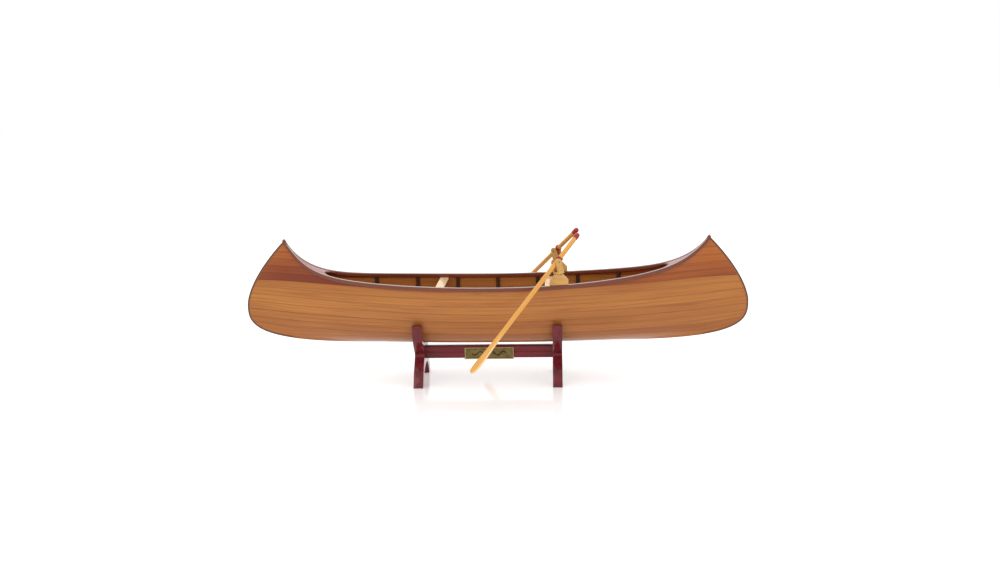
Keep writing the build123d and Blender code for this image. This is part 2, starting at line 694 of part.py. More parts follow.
stretcher_start = FRAME_AT["stern"] + FRAME_THICK / 2
stretcher_end = FRAME_AT["bow"] - FRAME_THICK / 2
stretcher_front = -STRETCHER_THICK / 2
plate_at = (stretcher_start + stretcher_end) / 2
with BuildPart() as stretcher:
    with BuildSketch(Plane.YZ.offset(stretcher_start)):
        with Locations((0, stretcher_middle)):
            Rectangle(STRETCHER_THICK, STRETCHER_HEIGHT)
        with Locations((stretcher_front, stretcher_middle), (-stretcher_front, stretcher_middle)):
            Rectangle(2 * GROOVE, GROOVE, rotation=45, mode=Mode.SUBTRACT)
    extrude(amount=stretcher_end - stretcher_start)
    for x, way in ((stretcher_start, 1), (stretcher_end, -1)):
        with BuildSketch(Plane.YZ.offset(x)):
            with Locations((0, stretcher_middle)):
                Circle(DOWEL_RADIUS + RUNNING_GAP)
        extrude(amount=way * (DOWEL_LENGTH + GLUE) / 2, mode=Mode.SUBTRACT)
write(stretcher, "stand_stretcher")

with BuildPart() as dowels:
    for x in (stretcher_start, stretcher_end):
        with BuildSketch(Plane.YZ.offset(x)):
            with Locations((0, stretcher_middle)):
                Circle(DOWEL_RADIUS)
        extrude(amount=DOWEL_LENGTH / 2, both=True)
write(dowels, "stretcher_dowels")

with BuildPart() as plate:
    with BuildSketch(Plane.XZ.offset(-stretcher_front)):
        with Locations((plate_at, stretcher_middle - PLATE_DROP)):
            Rectangle(PLATE_LENGTH, PLATE_HEIGHT)
    extrude(amount=PLATE_THICK)
write(plate, "name_plate")
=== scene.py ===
"""Strip-planked display canoe with oars in swivelling forks, lying in its cherry stand.

Sizes are in millimetres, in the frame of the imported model: +X to the bow, +Y to port, +Z up.
The hull is drawn by formulas for its stems, sheer and half-breadth; put() turns them into metres.
"""
import json
from math import cos, radians, sin

import bmesh
import bpy
import numpy as np
from mathutils import Matrix, Vector


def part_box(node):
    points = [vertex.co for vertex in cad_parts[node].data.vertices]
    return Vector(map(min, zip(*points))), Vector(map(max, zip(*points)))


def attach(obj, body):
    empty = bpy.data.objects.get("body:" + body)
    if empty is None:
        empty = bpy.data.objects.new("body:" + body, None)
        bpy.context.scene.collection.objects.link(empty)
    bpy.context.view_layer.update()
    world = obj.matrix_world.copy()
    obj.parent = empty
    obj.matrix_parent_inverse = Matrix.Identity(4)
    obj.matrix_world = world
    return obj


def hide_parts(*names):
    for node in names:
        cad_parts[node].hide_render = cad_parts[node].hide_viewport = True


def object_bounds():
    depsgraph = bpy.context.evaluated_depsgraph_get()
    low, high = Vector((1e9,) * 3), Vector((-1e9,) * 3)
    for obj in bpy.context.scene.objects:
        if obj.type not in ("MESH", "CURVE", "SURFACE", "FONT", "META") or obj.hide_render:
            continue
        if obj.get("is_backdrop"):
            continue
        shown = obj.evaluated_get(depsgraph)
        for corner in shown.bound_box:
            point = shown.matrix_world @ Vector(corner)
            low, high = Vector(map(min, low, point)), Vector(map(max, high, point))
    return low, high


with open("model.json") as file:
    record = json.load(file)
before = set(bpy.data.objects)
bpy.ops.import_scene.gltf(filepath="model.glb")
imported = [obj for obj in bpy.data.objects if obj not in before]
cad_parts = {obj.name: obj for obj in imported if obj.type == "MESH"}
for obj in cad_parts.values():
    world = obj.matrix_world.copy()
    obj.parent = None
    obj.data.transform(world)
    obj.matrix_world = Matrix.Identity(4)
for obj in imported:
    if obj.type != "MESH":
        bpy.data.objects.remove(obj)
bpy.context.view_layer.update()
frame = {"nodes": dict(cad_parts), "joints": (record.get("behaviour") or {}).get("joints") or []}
nodes = frame["nodes"]

MM = 0.001
SIDES = {"port": 1, "starboard": -1}
ENDS = {"stern": -1, "bow": 1}

# ---------------------------------------------------------------- hull form
HALF_LENGTH, HALF_BEAM = 304.8, 61.0
KEEL_HEIGHT, WIDEST_HEIGHT, SHEER_HEIGHT, TIP_HEIGHT = 47.5, 95.0, 121.8, 174.0
TIP_INSET, STEM_HALF = 47.8, 2.0
SECTION_FULLNESS, WATERLINE_BODY, WATERLINE_ENTRY = 2.4, 2.7, 2.13
KEEL_BODY, KEEL_TURN, RAKE_TURN = 5.5, 3.0, 1.6
SHEER_SHARE, SHEER_HOOK = {-1: 0.246, 1: 0.427}, {-1: 10.3, 1: 9.5}
TOP_SEAM_HEIGHT, TOP_SEAM_RISE = 119.5, 8.0

# ---------------------------------------------------------------- planking, rails and decks
PLANK = 1.6
STRIP_WIDTH, SIDE_STRIPS, BOTTOM_STRIPS, TOPSIDE_STRIPS = 9.6, 7, 3, 3
END_STATION, KEEL_END = 236.0, 250.0
STEM_DEPTH, STEM_WIDTH, HEAD_PROUD, GLUE = 3.0, 4.5, 0.5, 0.1
SEAM_DEPTH, SEAM_WIDTH = 0.12, 0.6
RAIL_HEIGHT, RAIL_OUTBOARD, RAIL_INBOARD, RAIL_SHORT = 4.2, 2.5, 4.0, -1.0
TOPSIDE_START, PLANK_LAP, LEVEL_STRIP = 0.05, 0.4, 0.0088
DECK_MOUTH, DECK_BOW, DECK_HORN, DECK_THICK, DECK_CROWN = 196.0, 13.0, 1.0, 2.4, 0.5
DECK_POINT, DECK_LEAST, DECK_SUNK = 0.4, 0.25, 0.05
RIB_SPACING, RIBS_EACH_WAY, RIB_WIDTH, RIB_THICK, RIB_GAP = 50.0, 3, 4.5, 1.8, 0.2
RIB_FOOT, RIB_ROUND, RAIL_ROUND, STEM_ROUND = 1.0, 0.45, 0.35, 1.1
TOPSIDE_WIDTH, SQUARE_COUNT = 14.0, 141

# ---------------------------------------------------------------- oars
OAR_YAW, OAR_PITCH = radians(49.0), radians(36.5)
SHAFT_RADIUS, HANDLE_REACH, BLADE_REACH, BLADE_LENGTH = 2.7, 50.0, 181.0, 72.0
BLADE_HALF, BLADE_THICK, BLADE_SHOULDER, TIP_BLUNT = 7.3, 1.3, 13.0, 2.4
GRIP_LENGTH, GRIP_RADIUS = 8.5, 3.1
FLATTENING, PANEL_RIM, PANEL_DISH, RIM_START, RIM_FADE = 1.6, 0.26, 0.2, 0.7, 0.12
COLLAR_START, COLLAR_LENGTH, COLLAR_RADIUS = 4.5, 2.8, 4.1

# ---------------------------------------------------------------- stand
BEAD_SWELL, PLATE_RIM, PLATE_LINE, PLATE_RELIEF = 0.7, 1.5, 0.45, 0.22
PLATE_CHAMFER, BEAD_EDGE, EDGE_FALL = 0.35, 0.94, 0.6
WAVE_LENGTH, WAVE_HEIGHT, WAVE_LINE, WAVE_FADE = 14.0, 2.2, 0.6, 0.4


# ================================================================ hull formulas
def stem_reach(z):
    """Reach of the stem at height z: a raked power curve above the widest height, round below."""
    climb = np.clip((z - WIDEST_HEIGHT) / (TIP_HEIGHT - WIDEST_HEIGHT), 0, None)
    drop = np.clip((WIDEST_HEIGHT - z) / (WIDEST_HEIGHT - KEEL_HEIGHT), 0, 1)
    low = HALF_LENGTH * (1 - drop ** KEEL_TURN) ** (1 / KEEL_BODY)
    return np.where(z >= WIDEST_HEIGHT, HALF_LENGTH - TIP_INSET * climb ** RAKE_TURN, low)


def keel_line(x):
    """Underside of the keel: flat amidships and turning up the forefoot by a power curve."""
    run = np.clip(np.abs(x) / HALF_LENGTH, 0, 1)
    fall = (1 - run ** KEEL_BODY) ** (1 / KEEL_TURN)
    return WIDEST_HEIGHT - (WIDEST_HEIGHT - KEEL_HEIGHT) * fall


def sheer_line(x):
    """Top of the gunwale: part parabola, part high power that hooks up to each tip."""
    run = np.clip(np.abs(x) / (HALF_LENGTH - TIP_INSET), 0, 1.02)
    share = np.where(x > 0, SHEER_SHARE[1], SHEER_SHARE[-1])
    hook = np.where(x > 0, SHEER_HOOK[1], SHEER_HOOK[-1])
    return SHEER_HEIGHT + (TIP_HEIGHT - SHEER_HEIGHT) * (
        share * run ** 2 + (1 - share) * run ** hook)


def rail_bottom(x):
    return sheer_line(x) - RAIL_HEIGHT


def top_seam(x):
    return TOP_SEAM_HEIGHT + TOP_SEAM_RISE * (x / HALF_LENGTH) ** 2


def half_breadth(x, z):
    """Centreline to the outside of the planking: superellipse section times waterline."""
    depth = np.clip((z - KEEL_HEIGHT) / (SHEER_HEIGHT - KEEL_HEIGHT), 0, 1)
    section = (1 - (1 - depth) ** SECTION_FULLNESS) ** (1 / SECTION_FULLNESS)
    run = np.clip(np.abs(x) / np.maximum(stem_reach(z), 1), 0, 1)
    waterline = (1 - run ** WATERLINE_BODY) ** WATERLINE_ENTRY
    return STEM_HALF + (HALF_BEAM - STEM_HALF) * section * waterline


def hull_normal(x, z):
    """Outward unit normal of the port side, from differences of the half-breadth."""
    step = 0.05
    high, low = half_breadth(x, z + step), half_breadth(x, z - step)
    fore, aft = half_breadth(x + step, z), half_breadth(x - step, z)
    normal = np.stack([(aft - fore) / (2 * step), np.ones_like(x), (low - high) / (2 * step)], -1)
    return normal / np.linalg.norm(normal, axis=-1, keepdims=True)


def seam_distance(v, girth):
    """Girth from the top seam down to seam v: full strips first, then equal bottom strips."""
    side = STRIP_WIDTH * SIDE_STRIPS
    rest = (girth - side) / BOTTOM_STRIPS
    return np.where(v <= SIDE_STRIPS, STRIP_WIDTH * v, side + rest * (v - SIDE_STRIPS))


def arc_length(a, b):
    """Running length of a curve given by two coordinate arrays, along the last axis."""
    step = np.hypot(np.diff(a), np.diff(b))
    return np.concatenate([np.zeros_like(step[..., :1]), np.cumsum(step, -1)], -1)


def stem_profile():
    """Outer edge of a stem from its tip to the end of the keel, with its running length."""
    z = np.linspace(TIP_HEIGHT, keel_line(KEEL_END), 600)
    x = stem_reach(z)
    return x, z, arc_length(x, z)


STEM_X, STEM_Z, STEM_S = stem_profile()


def stem_at(s, inset=0.0):
    """Point of the stem at running length s, moved inboard along the curve's normal."""
    x, z = np.interp(s, STEM_S, STEM_X), np.interp(s, STEM_S, STEM_Z)
    near, far = np.clip(s - 1, 0, None), np.clip(s + 1, None, STEM_S[-1])
    dx = np.interp(far, STEM_S, STEM_X) - np.interp(near, STEM_S, STEM_X)
    dz = np.interp(far, STEM_S, STEM_Z) - np.interp(near, STEM_S, STEM_Z)
    length = np.hypot(dx, dz)
    return x + inset * dz / length, z - inset * dx / length


TOP_SEAM_END = np.interp(-(TOP_SEAM_HEIGHT + TOP_SEAM_RISE), -STEM_Z, STEM_S)
PLANK_END = STEM_DEPTH - PLANK_LAP


def crossing(line, end):
    """Running length at which the planks' end curve passes a line such as the sheer."""
    s = np.linspace(0, TOP_SEAM_END, 400)
    x, z = stem_at(s, PLANK_END)
    return s[np.argmax(z < line(end * x))]


def hermite(t, a, b, slope_a, slope_b):
    """Cubic from a to b with the given slopes at its ends."""
    return ((2 * t ** 3 - 3 * t ** 2 + 1) * a + (t ** 3 - 2 * t ** 2 + t) * slope_a
            + (3 * t ** 2 - 2 * t ** 3) * b + (t ** 3 - t ** 2) * slope_b)


def station_heights(x, v):
    """Height of each seam value v at each square station x, by girth down the section."""
    fall = (1 - np.linspace(0, 1, 240)) ** 3
    top = np.minimum(top_seam(x), rail_bottom(x))
    z = keel_line(x)[:, None] + (top - keel_line(x))[:, None] * fall
    s = arc_length(half_breadth(x[:, None], z), z)
    want = [seam_distance(v, length) for length in s[:, -1]]
    return np.array([np.interp(w, row, height) for w, row, height in zip(want, s, z)])


def long_grid(v):
    """x and z over the whole length for seam values v: square stations, then a cubic to the stem."""
    x = np.linspace(-END_STATION, END_STATION, SQUARE_COUNT)
    z = station_heights(x, v)
    stem_x, stem_z = stem_at(TOP_SEAM_END + seam_distance(v, STEM_S[-1] - TOP_SEAM_END), PLANK_END)
    t = np.linspace(0, 1, 22)[1:, None]
    run = stem_x - END_STATION
    ahead = END_STATION + t * run
    fore = hermite(t, z[-1], stem_z, (z[-1] - z[-2]) / (x[-1] - x[-2]) * run, stem_z - z[-1])
    aft = hermite(t, z[0], stem_z, (z[0] - z[1]) / (x[1] - x[0]) * run, stem_z - z[0])
    wide = np.repeat(x[:, None], len(v), 1)
    return np.vstack([-ahead[::-1], wide, ahead]), np.vstack([aft[::-1], z, fore])


def topside_grid(end, w):
    """x and z of the end planking between the top seam (w = 0) and the gunwale (w = 1).

    Square stations blend the two lines evenly. Beyond them the patch keeps to both lines and
    to the stem: the blend of the lines plus its own miss at the stem, shared out evenly.
    """
    probe = np.linspace(0, END_STATION, 2000)
    start = probe[np.argmax(rail_bottom(end * probe) - top_seam(probe) > TOPSIDE_START)]
    x = np.linspace(start, END_STATION, 60)
    low, high = top_seam(x), rail_bottom(end * x)
    z = low[:, None] + w * (high - low)[:, None]
    edge_x, _ = topside_end(end, np.array([0.0, 1.0]))
    stem_x, stem_z = topside_end(end, w)
    seam_x, seam_z = long_grid(np.array([0.0]))
    t = np.linspace(0, 1, 24)[1:]
    seam = np.interp(END_STATION + t * (edge_x[0] - END_STATION), end * seam_x[::end, 0],
                     seam_z[::end, 0])
    rim = rail_bottom(end * (END_STATION + t * (edge_x[1] - END_STATION)))
    miss = stem_z - ((1 - w) * seam[-1] + w * rim[-1])
    ahead = END_STATION + t[:, None] * (stem_x - END_STATION)
    bent = (1 - w) * seam[:, None] + w * rim[:, None] + t[:, None] * miss
    return end * np.vstack([np.repeat(x[:, None], len(w), 1), ahead]), np.vstack([z, bent])


def topside_end(end, w):
    """Where the end planking meets the stem, from the top seam (w = 0) to the rail (w = 1)."""
    return stem_at(TOP_SEAM_END + w * (crossing(rail_bottom, end) - TOP_SEAM_END), PLANK_END)


# ================================================================ mesh making
def put(name, loops, body, finish, stands_for, grain=None, edge=None, smooth=40):
    """A closed piece through loops of points: walls between neighbours and a cap at each end.

    loops is a list of (sections, points, 3) arrays; grain and edge are values at the points.
    """
    points, faces, grains, edges = [], [], [], []
    base = 0
    for k, rows in enumerate(loops):
        n, m = rows.shape[:2]
        index = base + np.arange(n * m).reshape(n, m)
        turned = np.roll(index, -1, 1)
        walls = np.stack([index[:-1], turned[:-1], turned[1:], index[1:]], -1).reshape(-1, 4)
        faces += walls.tolist() + [index[0][::-1].tolist(), index[-1].tolist()]
        points.append(rows.reshape(-1, 3))
        if grain is not None:
            grains.append(grain[k].reshape(-1, 3))
        if edge is not None:
            edges.append(edge[k].reshape(-1))
        base += n * m
    mesh = bpy.data.meshes.new(name)
    mesh.from_pydata((np.concatenate(points) * MM).tolist(), [], faces)
    if grain is not None:
        layer = mesh.attributes.new("grain", "FLOAT_VECTOR", "POINT")
        layer.data.foreach_set("vector", np.concatenate(grains).astype(np.float32).ravel())
    if edge is not None:
        layer = mesh.attributes.new("edge", "FLOAT", "POINT")
        layer.data.foreach_set("value", np.concatenate(edges).astype(np.float32))
    return finish_piece(name, mesh, body, finish, stands_for, smooth)


def finish_piece(name, mesh, body, finish, stands_for, smooth):
    """Outward faces, smooth shading up to an angle, the finish, the body and the nodes it replaces."""
    shell = bmesh.new()
    shell.from_mesh(mesh)
    bmesh.ops.recalc_face_normals(shell, faces=shell.faces)
    shell.to_mesh(mesh)
    shell.free()
    mesh.shade_smooth()
    mesh.set_sharp_from_angle(angle=radians(smooth))
    mesh.materials.append(finish)
    piece = bpy.data.objects.new(name, mesh)
    bpy.context.scene.collection.objects.link(piece)
    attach(piece, body)
    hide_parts(*stands_for)
    return piece


def softened(node, body, finish, width, segments=3):
    """A copy of a CAD node with its points merged and every corner rounded by a bevel."""
    mesh = nodes[node].data.copy()
    mesh.name = node + "_soft"
    mesh.materials.clear()
    shell = bmesh.new()
    shell.from_mesh(mesh)
    bmesh.ops.remove_doubles(shell, verts=shell.verts, dist=1e-6)
    bmesh.ops.dissolve_limit(shell, angle_limit=radians(0.4), verts=shell.verts, edges=shell.edges)
    shell.to_mesh(mesh)
    shell.free()
    piece = finish_piece(node + "_soft", mesh, body, finish, [node], 180)
    bevel = piece.modifiers.new("rounded", "BEVEL")
    bevel.width, bevel.segments, bevel.limit_method = width * MM, segments, "ANGLE"
    bevel.angle_limit, bevel.harden_normals, bevel.use_clamp_overlap = radians(35), True, True
    return piece


def rounded_loop(width, height, radius, corner=5):
    """Rectangle with round corners: a quarter circle at each corner; arrays give one per section."""
    width, height = np.atleast_1d(width)[:, None], np.atleast_1d(height)[:, None]
    radius = np.minimum(radius, 0.45 * np.minimum(width, height))
    turn = np.concatenate([np.linspace(q, q + 1, corner) * np.pi / 2 for q in range(4)])
    quarter = np.repeat(np.arange(4), corner)
    right = np.where((quarter == 0) | (quarter == 3), 1, -1)
    up = np.where(quarter < 2, 1, -1)
    a = right * (width / 2 - radius) + radius * np.cos(turn)
    b = up * (height / 2 - radius) + radius * np.sin(turn)
    return a, b


# ================================================================ finishes
def rgb(red, green, blue):
    """Display colour in 0..255 as the linear colour that a shader takes."""
    value = np.array([red, green, blue]) / 255
    linear = np.where(value <= 0.04045, value / 12.92, ((value + 0.055) / 1.055) ** 2.4)
    return (*linear.tolist(), 1.0)


class Shade:
    """A number that varies over a surface; arithmetic on it adds Math nodes."""

    def __init__(self, paint, socket):
        self.paint, self.socket = paint, socket

    def math(self, operation, a, b=0.0, clamp=False):
        settings = {"operation": operation, "use_clamp": clamp}
        return self.paint.node("ShaderNodeMath", settings, {0: a, 1: b})

    def __add__(self, other):
        return self.math("ADD", self, other)

    def __sub__(self, other):
        return self.math("SUBTRACT", self, other)

    def __rsub__(self, other):
        return self.math("SUBTRACT", other, self)

    def __mul__(self, other):
        return self.math("MULTIPLY", self, other)

    def __abs__(self):
        return self.math("ABSOLUTE", self)

    def clamped(self):
        return self.math("ADD", self, 0.0, clamp=True)

    __radd__, __rmul__ = __add__, __mul__


class Paint:
    """A material under construction: one method makes any node, another sets the shader."""

    def __init__(self, name):
        self.material = bpy.data.materials.new(name)
        self.material.use_nodes = True
        self.tree = self.material.node_tree
        self.shader = self.tree.nodes["Principled BSDF"]

    def node(self, kind, settings, inputs, output=0):
        node = self.tree.nodes.new(kind)
        for key, value in settings.items():
            setattr(node, key, value)
        for key, value in inputs.items():
            self.feed(node.inputs[key], value)
        return Shade(self, node.outputs[output])

    def feed(self, socket, value):
        if isinstance(value, Shade):
            self.tree.links.new(value.socket, socket)
        else:
            socket.default_value = value

    def shade(self, **sockets):
        for key, value in sockets.items():
            self.feed(self.shader.inputs[key.replace("_", " ")], value)

    def varnish(self, weight, roughness):
        """A thin varnish: weak face on, bright at a glancing angle."""
        self.shade(Specular_IOR_Level=0.12, Coat_Weight=weight, Coat_Roughness=roughness)
        self.shade(Coat_IOR=1.36)

    def mix(self, share, a, b, way="MIX"):
        settings = {"data_type": "RGBA", "blend_type": way}
        return self.node("ShaderNodeMix", settings, {0: share, 6: a, 7: b}, output=2)

    def attribute(self, name, output):
        return self.node("ShaderNodeAttribute", {"attribute_name": name}, {}, output)

    def place(self, own_grain, stretch, turn=(0, 0, 0)):
        """The grain attribute, or object coordinates turned so that the grain runs along X."""
        if own_grain:
            source = self.attribute("grain", "Vector")
        else:
            source = self.node("ShaderNodeTexCoord", {}, {}, "Object")
            source = self.node("ShaderNodeMapping", {}, {"Vector": source, "Rotation": turn})
        return self.node("ShaderNodeMapping", {}, {"Vector": source, "Scale": stretch})

    def noise(self, where, detail=4.0, rough=0.6, bend=0.0):
        inputs = {"Vector": where, "Scale": 1.0, "Detail": detail, "Roughness": rough,
                  "Distortion": bend}
        return self.node("ShaderNodeTexNoise", {}, inputs)


def wood(name, pale, dark, own_grain=False, turn=(0, 0, 0), figure=(12, 420, 420),
         pores=(45, 2600, 2600), pore_depth=0.35, roughness=0.36, coat=0.6, contrast=1.0,
         rim=None):
    """Varnished wood: broad figure and fine pores, both drawn out along the grain.

    The figure mixes the pale and dark tones, the pores darken and roughen it, and both feed a
    shallow bump under the varnish.
    """
    paint = Paint(name)
    broad = paint.noise(paint.place(own_grain, figure, turn), bend=0.4)
    fine = paint.noise(paint.place(own_grain, pores, turn), detail=3.0)
    share = ((broad - 0.5) * (2.2 * contrast) + 0.5).clamped()
    tone = paint.mix(share, pale, dark)
    pore = ((fine - 0.56) * 5.0).clamped()
    tone = paint.mix(pore * pore_depth, tone, dark, "MULTIPLY")
    if rim:
        tone = paint.mix(paint.attribute("edge", "Fac"), tone, rim)
    bump = paint.node("ShaderNodeBump", {}, {"Strength": 0.12, "Distance": 0.0002,
                                             "Height": broad * 0.6 - pore})
    paint.shade(Base_Color=tone, Roughness=roughness + 0.1 * fine + 0.08 * pore, Normal=bump)
    paint.varnish(coat, 0.12)
    return paint.material


def cedar(name, pale, mid, red, tone_pull, level=False):
    """Planking: strip by strip tone, streaks along each strip, thin growth lines and dark seams.

    The grain attribute holds length along the strip, girth across it and the strip's own tone.
    Level planking is ruled into strips by its height above the seam, redder at the foot.
    """
    paint = Paint(name)
    grain = paint.attribute("grain", "Vector")
    tone = paint.node("ShaderNodeSeparateXYZ", {}, {0: grain}, "Z")
    if level:
        count = paint.node("ShaderNodeSeparateXYZ", {}, {0: grain}, "Y") * (1 / LEVEL_STRIP)
        part = count.math("FRACT", count)
        tone = tone - 0.24 * (count - part)
        ruled = (1.0 - (0.5 - abs(part - 0.5)) * 14.0).clamped()
    streak = paint.noise(paint.place(True, (9, 520, 31)), detail=5.0, bend=0.5)
    cloud = paint.noise(paint.place(True, (5, 22, 17)), detail=2.0)
    fine = paint.noise(paint.place(True, (60, 3600, 53)), detail=3.0)
    lines = paint.noise(paint.place(True, (3.2, 260, 71)), detail=2.0, bend=0.3)
    line = (1.0 - abs(lines - 0.53) * 34.0).clamped()
    body = paint.mix(((streak - 0.5) * 1.7 + 0.45).clamped(), pale, mid)
    body = paint.mix(((tone * tone_pull) + (cloud - 0.5) * 0.9).clamped(), body, red)
    body = paint.mix(line * 0.34, body, rgb(98, 50, 27))
    body = paint.mix(((fine - 0.55) * 3.0).clamped() * 0.25, body, rgb(110, 58, 32))
    edge = paint.attribute("edge", "Fac") * 0.42
    if level:
        edge = ruled * 0.5
    body = paint.mix(edge, body, rgb(74, 36, 20))
    bump = paint.node("ShaderNodeBump", {}, {"Strength": 0.1, "Distance": 0.00015,
                                             "Height": streak * 0.5 - line * 0.5})
    paint.shade(Base_Color=body, Roughness=0.3 + 0.12 * fine + 0.2 * edge, Normal=bump)
    paint.varnish(0.6, 0.16)
    return paint.material


def aged_brass(name):
    """Olive brass: cloudy tarnish that is also rougher, and brushed lines along the plate."""
    paint = Paint(name)
    cloud = paint.noise(paint.place(False, (160, 160, 160)), detail=5.0)
    brushed = paint.noise(paint.place(False, (60, 3000, 3000)), detail=2.0)
    recess = paint.attribute("edge", "Fac")
    tarnish = ((cloud - 0.42) * 3.0).clamped()
    tone = paint.mix(tarnish, rgb(118, 102, 64), rgb(82, 70, 42))
    tone = paint.mix(recess.clamped() * 0.85, tone, rgb(24, 18, 12))
    tone = paint.mix((recess * -0.9).clamped(), tone, rgb(196, 178, 128))
    bump = paint.node("ShaderNodeBump", {}, {"Strength": 0.15, "Distance": 0.0001,
                                             "Height": brushed})
    paint.shade(Base_Color=tone, Roughness=0.34 + 0.22 * tarnish + 0.2 * recess.clamped(), Normal=bump)
    paint.shade(Metallic=1.0)
    return paint.material


def dull_steel(name):
    """Grey pin metal with fine scratches."""
    paint = Paint(name)
    scratch = paint.noise(paint.place(False, (2400, 2400, 300)), detail=3.0)
    tone = paint.mix(scratch, rgb(150, 145, 138), rgb(96, 90, 84))
    paint.shade(Base_Color=tone, Roughness=0.3 + 0.2 * scratch)
    paint.shade(Metallic=1.0)
    return paint.material


CEDAR = cedar("cedar_strips", rgb(186, 124, 58), rgb(160, 92, 42), rgb(128, 62, 30), 0.5)
TOPSIDE = cedar("red_topside", rgb(180, 104, 42), rgb(148, 74, 32), rgb(112, 42, 24), 0.85, True)
MAHOGANY = wood("mahogany", rgb(128, 64, 40), rgb(90, 40, 26), True, roughness=0.3, coat=1.0)
# The deck is the same mahogany as the rails; its paler, pinker tones are a painted sheen, the glossy
# reflection on its top.
DECK_MAHOGANY_SHEEN = wood("deck_mahogany_painted_sheen", rgb(166, 84, 62), rgb(134, 62, 46), True, roughness=0.3, coat=0.72)
STEM_WOOD = wood("stem_wood", rgb(158, 96, 48), rgb(122, 66, 34), True, roughness=0.34,
                 rim=rgb(72, 44, 32))
RIB_WOOD = wood("rib_wood", rgb(80, 46, 34), rgb(50, 28, 21), True)
ACROSS, UPRIGHT = (0, 0, radians(90)), (0, radians(90), 0)
THWART_WOOD = wood("thwart_wood", rgb(244, 208, 160), rgb(226, 184, 134), turn=ACROSS,
                   pore_depth=0.2, contrast=0.7)
MAPLE = wood("maple", rgb(214, 168, 100), rgb(188, 138, 72), figure=(30, 260, 260),
             pore_depth=0.25, contrast=0.8)
OAR_WOOD = wood("oar_wood", rgb(228, 170, 84), rgb(206, 140, 58), True, figure=(9, 420, 420),
                pore_depth=0.25, contrast=0.8, rim=rgb(242, 204, 138))
LACQUER = wood("red_lacquer", rgb(172, 44, 24), rgb(122, 24, 15), True, roughness=0.26, coat=1.0,
               pore_depth=0.2, contrast=0.6)
CHERRY = wood("cherry", rgb(120, 30, 37), rgb(76, 15, 22), turn=UPRIGHT, figure=(9, 180, 180),
              pores=(40, 1500, 1500), roughness=0.34, coat=0.8)
CHERRY_RAIL = wood("cherry_rail", rgb(142, 34, 42), rgb(96, 18, 27), figure=(9, 180, 180),
                   pores=(40, 1500, 1500), roughness=0.34, coat=0.8)
BRASS = aged_brass("aged_brass")
STEEL = dull_steel("dull_steel")


# ================================================================ hull pieces
def strip_loop(x, z, side, depth=SEAM_DEPTH):
    """Closed section of a strip at each station: outside with sunk edges, then inside.

    The outside lies on the hull, the inside one plank thickness in along the hull's normal.
    """
    normal = hull_normal(x, z)
    outside = np.stack([x, half_breadth(x, z), z], -1)
    inside = outside - normal * PLANK
    inside[..., 1] = np.maximum(inside[..., 1], 2 * GLUE)
    outside[:, [0, -1]] -= normal[:, [0, -1]] * depth
    loop = np.concatenate([outside, inside[:, ::-1]], 1)
    loop[..., 1] *= side
    return loop


def strip_grain(x, across, tone, shift):
    """Grain values round a strip: length along it, girth across it and its tone."""
    n, m = x.shape
    girth = np.repeat(across[None], n, 0)
    value = np.stack([x * MM + shift, girth * MM + 3 * shift, np.full((n, m), tone)], -1)
    return np.concatenate([value, value[:, ::-1]], 1)


def seam_share(width):
    """Places across a strip: its edges, the line just inside each, and between them."""
    rim = SEAM_WIDTH / width
    return np.concatenate([[0, rim], np.linspace(0.2, 0.8, 4), [1 - rim, 1]])


def seam_edge(x):
    """Edge value round a strip: one on its outer edges, nought elsewhere."""
    edge = np.zeros((x.shape[0], 2 * x.shape[1]))
    edge[:, [0, x.shape[1] - 1]] = 1.0
    return edge


tones = np.random.default_rng(7).random(64)
STRIP_TONES = (0.42, 0.3, 0.12, 0.34, 0.66, 0.5, 0.7, 0.5, 0.62, 0.55)
TOPSIDE_TONE = {"stern": 0.95, "bow": 0.6}
ACROSS_STRIP = seam_share(STRIP_WIDTH)
for side_index, (side_name, side) in enumerate(SIDES.items()):
    for k in range(SIDE_STRIPS + BOTTOM_STRIPS):
        x, z = long_grid(k + ACROSS_STRIP)
        low = k >= SIDE_STRIPS
        node = f"{side_name}_" + (f"bottom_strip_{k - SIDE_STRIPS + 1}" if low else
                                  f"side_strip_{k + 1}")
        number = 10 * side_index + k
        tone = STRIP_TONES[k] + 0.3 * (tones[number] - 0.5)
        across = STRIP_WIDTH * (k + ACROSS_STRIP)
        put(node + "_plank", [strip_loop(x, z, side)], "canoe", CEDAR, [node],
            [strip_grain(x, across, tone, 0.37 * number)], [seam_edge(x)])

TOPSIDE_ACROSS = seam_share(TOPSIDE_WIDTH)
for end_index, (end_name, end) in enumerate(ENDS.items()):
    for side_index, (side_name, side) in enumerate(SIDES.items()):
        loops, grains = [], []
        shift = 0.37 * (20 + 2 * end_index + side_index)
        for k in range(TOPSIDE_STRIPS):
            x, z = topside_grid(end, (k + TOPSIDE_ACROSS) / TOPSIDE_STRIPS)
            loops.append(strip_loop(x, z, side, 0.0))
            height = z - top_seam(x)
            value = np.stack([x * MM + shift, height * MM,
                              np.full_like(x, TOPSIDE_TONE[end_name])], -1)
            grains.append(np.concatenate([value, value[:, ::-1]], 1))
        node = f"{end_name}_{side_name}_topside"
        put(node + "_planks", loops, "canoe", TOPSIDE, [node], grains)


def swept_grain(rows, along, shift=0.0):
    """Grain values of a swept piece: its running length, and its own two cross directions."""
    n, m = rows.shape[:2]
    turn = np.linspace(0, 1, m, endpoint=False) * 0.02
    value = np.stack([np.repeat(along[:, None], m, 1) * MM + shift,
                      np.repeat(turn[None], n, 0), np.full((n, m), shift)], -1)
    return [value]


def rail_tip(line, end):
    """Where a line along the gunwale runs out over the edge of the stem."""
    s = np.linspace(0, TOP_SEAM_END, 400)
    x, z = stem_at(s, RAIL_SHORT)
    return x[np.argmax(z < line(end * x))]


